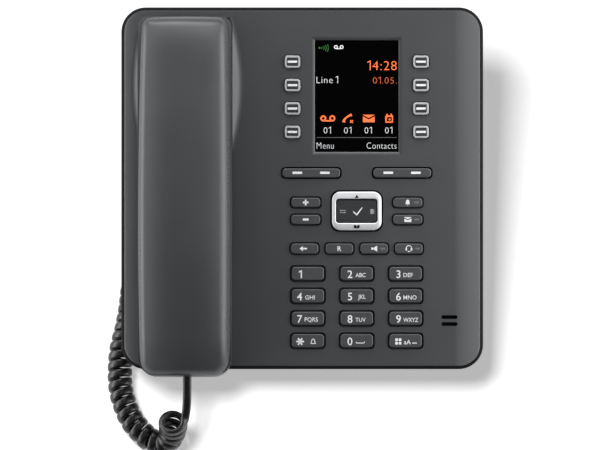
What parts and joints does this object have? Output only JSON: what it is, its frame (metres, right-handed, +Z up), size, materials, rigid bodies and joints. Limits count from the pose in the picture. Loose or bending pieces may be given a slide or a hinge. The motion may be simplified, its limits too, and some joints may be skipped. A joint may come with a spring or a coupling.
{
  "type": "desk telephone",
  "caption": "Desk telephone with a cradle handset, coiled cord, colour display, number pad, four-way key with centre key, line keys, rear stand and wall keyholes.",
  "frame": {"origin": "centre of the footprint, on the surface the feet stand on", "axes": "+X to the user's right, +Y away from the user, +Z up"},
  "size_m": [0.2009, 0.2322, 0.0866],
  "materials": {
    "anthracite_plastic": "fine moulded grain",
    "dark_plastic": "moulded, satin",
    "foot_rubber": "matte",
    "display_glass": "clear hard-coated window over a dark display",
    "display_can": "pressed frame",
    "silicone_mat": "silicone",
    "circuit_board": "solder mask",
    "speaker_black": "satin",
    "jack_shield": "pressed shield",
    "jack_black": "moulded",
    "steel": "zinc plated",
    "clear_plug": "clear moulded",
    "cord_sheath": "satin vinyl",
    "key_plastic": "fine moulded grain, printed legends",
    "silver_trim": "silver paint, satin",
    "ok_key_plastic": "satin"
  },
  "bodies": {
    "base": {"top_shell": "anthracite_plastic", "bottom_shell": "dark_plastic", "desk_stand": "dark_plastic", "rubber_feet": "foot_rubber", "lcd_window": "display_glass", "lcd_module": "display_can", "keypad_mat": "silicone_mat", "main_board": "circuit_board", "handsfree_speaker": "speaker_black", "base_microphone": "speaker_black", "network_jacks": "jack_shield", "power_jack": "jack_black", "cord_jacks": "jack_black", "shell_screws": "steel", "cord_lead": "cord_sheath", "cord_coil": "cord_sheath", "cord_base_lead": "cord_sheath", "cord_base_plug": "clear_plug"},
    "handset": {"handset_back_shell": "anthracite_plastic", "handset_front_shell": "anthracite_plastic", "handset_receiver": "speaker_black", "handset_microphone": "speaker_black", "handset_weight": "steel", "handset_screws": "steel", "cord_handset_plug": "clear_plug"},
    "hook": {"hook_plunger": "dark_plastic"},
    "tilt_plate": {"nav_tilt_plate": "dark_plastic"},
    "navigation_ring": {"nav_ring": "silver_trim"},
    "ok_button": {"nav_ok_key": "ok_key_plastic"},
    "softkey_left_button": {"softkey_left": "key_plastic"},
    "softkey_right_button": {"softkey_right": "key_plastic"},
    "volume_up_button": {"volume_up_key": "key_plastic"},
    "volume_down_button": {"volume_down_key": "key_plastic"},
    "ringer_button": {"ringer_key": "key_plastic"},
    "message_button": {"message_key": "key_plastic"},
    "back_button": {"back_key": "key_plastic"},
    "recall_button": {"recall_key": "key_plastic"},
    "speaker_button": {"speaker_key": "key_plastic"},
    "headset_button": {"headset_key": "key_plastic"},
    "key_1_button": {"key_1": "key_plastic"},
    "key_2_button": {"key_2": "key_plastic"},
    "key_3_button": {"key_3": "key_plastic"},
    "key_4_button": {"key_4": "key_plastic"},
    "key_5_button": {"key_5": "key_plastic"},
    "key_6_button": {"key_6": "key_plastic"},
    "key_7_button": {"key_7": "key_plastic"},
    "key_8_button": {"key_8": "key_plastic"},
    "key_9_button": {"key_9": "key_plastic"},
    "key_star_button": {"key_star": "key_plastic"},
    "key_0_button": {"key_0": "key_plastic"},
    "key_hash_button": {"key_hash": "key_plastic"},
    "line_key_left_1_button": {"line_key_left_1": "key_plastic"},
    "line_key_left_2_button": {"line_key_left_2": "key_plastic"},
    "line_key_left_3_button": {"line_key_left_3": "key_plastic"},
    "line_key_left_4_button": {"line_key_left_4": "key_plastic"},
    "line_key_right_1_button": {"line_key_right_1": "key_plastic"},
    "line_key_right_2_button": {"line_key_right_2": "key_plastic"},
    "line_key_right_3_button": {"line_key_right_3": "key_plastic"},
    "line_key_right_4_button": {"line_key_right_4": "key_plastic"}
  },
  "joints": [
    {"name": "handset_lift", "type": "slide", "parent": "base", "child": "handset", "axis": [0, -0.2419, 0.9703], "range_m": [0, 0.14]},
    {"name": "hook_travel", "type": "slide", "parent": "base", "child": "hook", "axis": [0, -0.2419, 0.9703], "range_m": [0, 0.0035]},
    {"name": "nav_left_right", "type": "hinge", "parent": "base", "child": "tilt_plate", "pos_m": [0.0289, -0.00912, 0.0452], "axis": [0, 0.9703, 0.2419], "range_deg": [-3, 3], "stiffness_Nm_per_rad": 0.08},
    {"name": "nav_up_down", "type": "hinge", "parent": "tilt_plate", "child": "navigation_ring", "pos_m": [0.0289, -0.00912, 0.0452], "axis": [1, 0, 0], "range_deg": [-3, 3], "stiffness_Nm_per_rad": 0.08},
    {"name": "nav_ok_press", "type": "slide", "parent": "base", "child": "ok_button", "axis": [0, 0.2419, -0.9703], "range_m": [0, 0.0006], "stiffness_N_per_m": 900},
    {"name": "softkey_left_rock", "type": "hinge", "parent": "base", "child": "softkey_left_button", "pos_m": [0.0048, 0.01043, 0.05008], "axis": [0, 0.9703, 0.2419], "range_deg": [-3, 3], "stiffness_Nm_per_rad": 0.06},
    {"name": "softkey_right_rock", "type": "hinge", "parent": "base", "child": "softkey_right_button", "pos_m": [0.053, 0.01043, 0.05008], "axis": [0, 0.9703, 0.2419], "range_deg": [-3, 3], "stiffness_Nm_per_rad": 0.06},
    {"name": "volume_up_key_press", "type": "slide", "parent": "base", "child": "volume_up_button", "axis": [0, 0.2419, -0.9703], "range_m": [0, 0.0012], "stiffness_N_per_m": 600},
    {"name": "volume_down_key_press", "type": "slide", "parent": "base", "child": "volume_down_button", "axis": [0, 0.2419, -0.9703], "range_m": [0, 0.0012], "stiffness_N_per_m": 600},
    {"name": "ringer_key_press", "type": "slide", "parent": "base", "child": "ringer_button", "axis": [0, 0.2419, -0.9703], "range_m": [0, 0.0012], "stiffness_N_per_m": 600},
    {"name": "message_key_press", "type": "slide", "parent": "base", "child": "message_button", "axis": [0, 0.2419, -0.9703], "range_m": [0, 0.0012], "stiffness_N_per_m": 600},
    {"name": "back_key_press", "type": "slide", "parent": "base", "child": "back_button", "axis": [0, 0.2419, -0.9703], "range_m": [0, 0.0012], "stiffness_N_per_m": 600},
    {"name": "recall_key_press", "type": "slide", "parent": "base", "child": "recall_button", "axis": [0, 0.2419, -0.9703], "range_m": [0, 0.0012], "stiffness_N_per_m": 600},
    {"name": "speaker_key_press", "type": "slide", "parent": "base", "child": "speaker_button", "axis": [0, 0.2419, -0.9703], "range_m": [0, 0.0012], "stiffness_N_per_m": 600},
    {"name": "headset_key_press", "type": "slide", "parent": "base", "child": "headset_button", "axis": [0, 0.2419, -0.9703], "range_m": [0, 0.0012], "stiffness_N_per_m": 600},
    {"name": "key_1_press", "type": "slide", "parent": "base", "child": "key_1_button", "axis": [0, 0.2419, -0.9703], "range_m": [0, 0.0012], "stiffness_N_per_m": 600},
    {"name": "key_2_press", "type": "slide", "parent": "base", "child": "key_2_button", "axis": [0, 0.2419, -0.9703], "range_m": [0, 0.0012], "stiffness_N_per_m": 600},
    {"name": "key_3_press", "type": "slide", "parent": "base", "child": "key_3_button", "axis": [0, 0.2419, -0.9703], "range_m": [0, 0.0012], "stiffness_N_per_m": 600},
    {"name": "key_4_press", "type": "slide", "parent": "base", "child": "key_4_button", "axis": [0, 0.2419, -0.9703], "range_m": [0, 0.0012], "stiffness_N_per_m": 600},
    {"name": "key_5_press", "type": "slide", "parent": "base", "child": "key_5_button", "axis": [0, 0.2419, -0.9703], "range_m": [0, 0.0012], "stiffness_N_per_m": 600},
    {"name": "key_6_press", "type": "slide", "parent": "base", "child": "key_6_button", "axis": [0, 0.2419, -0.9703], "range_m": [0, 0.0012], "stiffness_N_per_m": 600},
    {"name": "key_7_press", "type": "slide", "parent": "base", "child": "key_7_button", "axis": [0, 0.2419, -0.9703], "range_m": [0, 0.0012], "stiffness_N_per_m": 600},
    {"name": "key_8_press", "type": "slide", "parent": "base", "child": "key_8_button", "axis": [0, 0.2419, -0.9703], "range_m": [0, 0.0012], "stiffness_N_per_m": 600},
    {"name": "key_9_press", "type": "slide", "parent": "base", "child": "key_9_button", "axis": [0, 0.2419, -0.9703], "range_m": [0, 0.0012], "stiffness_N_per_m": 600},
    {"name": "key_star_press", "type": "slide", "parent": "base", "child": "key_star_button", "axis": [0, 0.2419, -0.9703], "range_m": [0, 0.0012], "stiffness_N_per_m": 600},
    {"name": "key_0_press", "type": "slide", "parent": "base", "child": "key_0_button", "axis": [0, 0.2419, -0.9703], "range_m": [0, 0.0012], "stiffness_N_per_m": 600},
    {"name": "key_hash_press", "type": "slide", "parent": "base", "child": "key_hash_button", "axis": [0, 0.2419, -0.9703], "range_m": [0, 0.0012], "stiffness_N_per_m": 600},
    {"name": "line_key_left_1_press", "type": "slide", "parent": "base", "child": "line_key_left_1_button", "axis": [0, 0.2419, -0.9703], "range_m": [0, 0.0012], "stiffness_N_per_m": 600},
    {"name": "line_key_left_2_press", "type": "slide", "parent": "base", "child": "line_key_left_2_button", "axis": [0, 0.2419, -0.9703], "range_m": [0, 0.0012], "stiffness_N_per_m": 600},
    {"name": "line_key_left_3_press", "type": "slide", "parent": "base", "child": "line_key_left_3_button", "axis": [0, 0.2419, -0.9703], "range_m": [0, 0.0012], "stiffness_N_per_m": 600},
    {"name": "line_key_left_4_press", "type": "slide", "parent": "base", "child": "line_key_left_4_button", "axis": [0, 0.2419, -0.9703], "range_m": [0, 0.0012], "stiffness_N_per_m": 600},
    {"name": "line_key_right_1_press", "type": "slide", "parent": "base", "child": "line_key_right_1_button", "axis": [0, 0.2419, -0.9703], "range_m": [0, 0.0012], "stiffness_N_per_m": 600},
    {"name": "line_key_right_2_press", "type": "slide", "parent": "base", "child": "line_key_right_2_button", "axis": [0, 0.2419, -0.9703], "range_m": [0, 0.0012], "stiffness_N_per_m": 600},
    {"name": "line_key_right_3_press", "type": "slide", "parent": "base", "child": "line_key_right_3_button", "axis": [0, 0.2419, -0.9703], "range_m": [0, 0.0012], "stiffness_N_per_m": 600},
    {"name": "line_key_right_4_press", "type": "slide", "parent": "base", "child": "line_key_right_4_button", "axis": [0, 0.2419, -0.9703], "range_m": [0, 0.0012], "stiffness_N_per_m": 600}
  ],
  "couplings": [
    {"joint": "hook_travel", "follows": "handset_lift", "ratio": 0.025}
  ]
}
